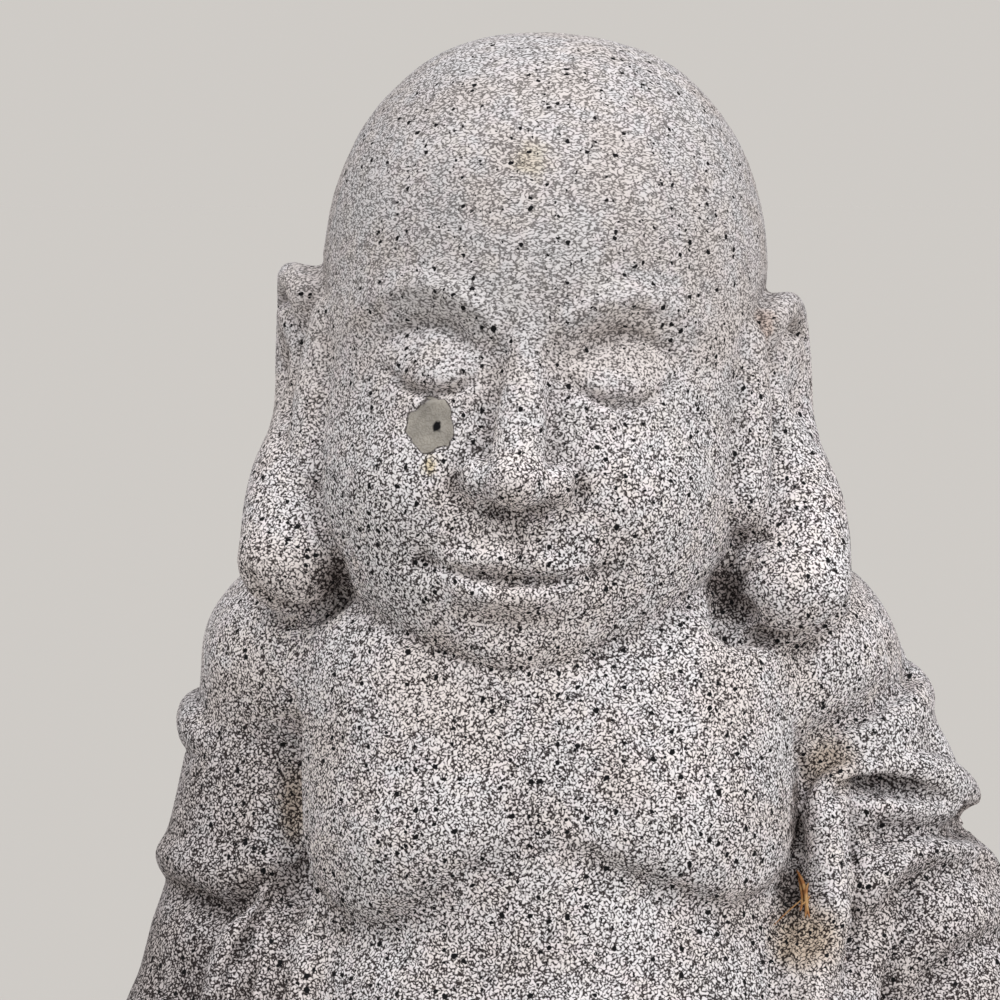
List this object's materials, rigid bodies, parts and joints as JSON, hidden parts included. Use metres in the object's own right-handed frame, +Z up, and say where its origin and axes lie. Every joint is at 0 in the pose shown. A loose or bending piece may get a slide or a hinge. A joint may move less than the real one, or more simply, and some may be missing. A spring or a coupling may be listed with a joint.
{
  "type": "laughing buddha statue",
  "caption": "Seated laughing buddha in speckled grey granite, bald, long-eared, round-bellied, robe off the shoulders, on a low base.",
  "frame": {"origin": "middle of the base's flat underside, level with the ground", "axes": "+Z up, the figure faces -Y, and its right hand is at -X"},
  "size_m": [0.323, 0.2451, 0.4702],
  "materials": {
    "granite": "fine-dressed speckled grey granite, matt, softly worn"
  },
  "bodies": {
    "root": {"laughing_buddha": "granite"}
  },
  "joints": []
}
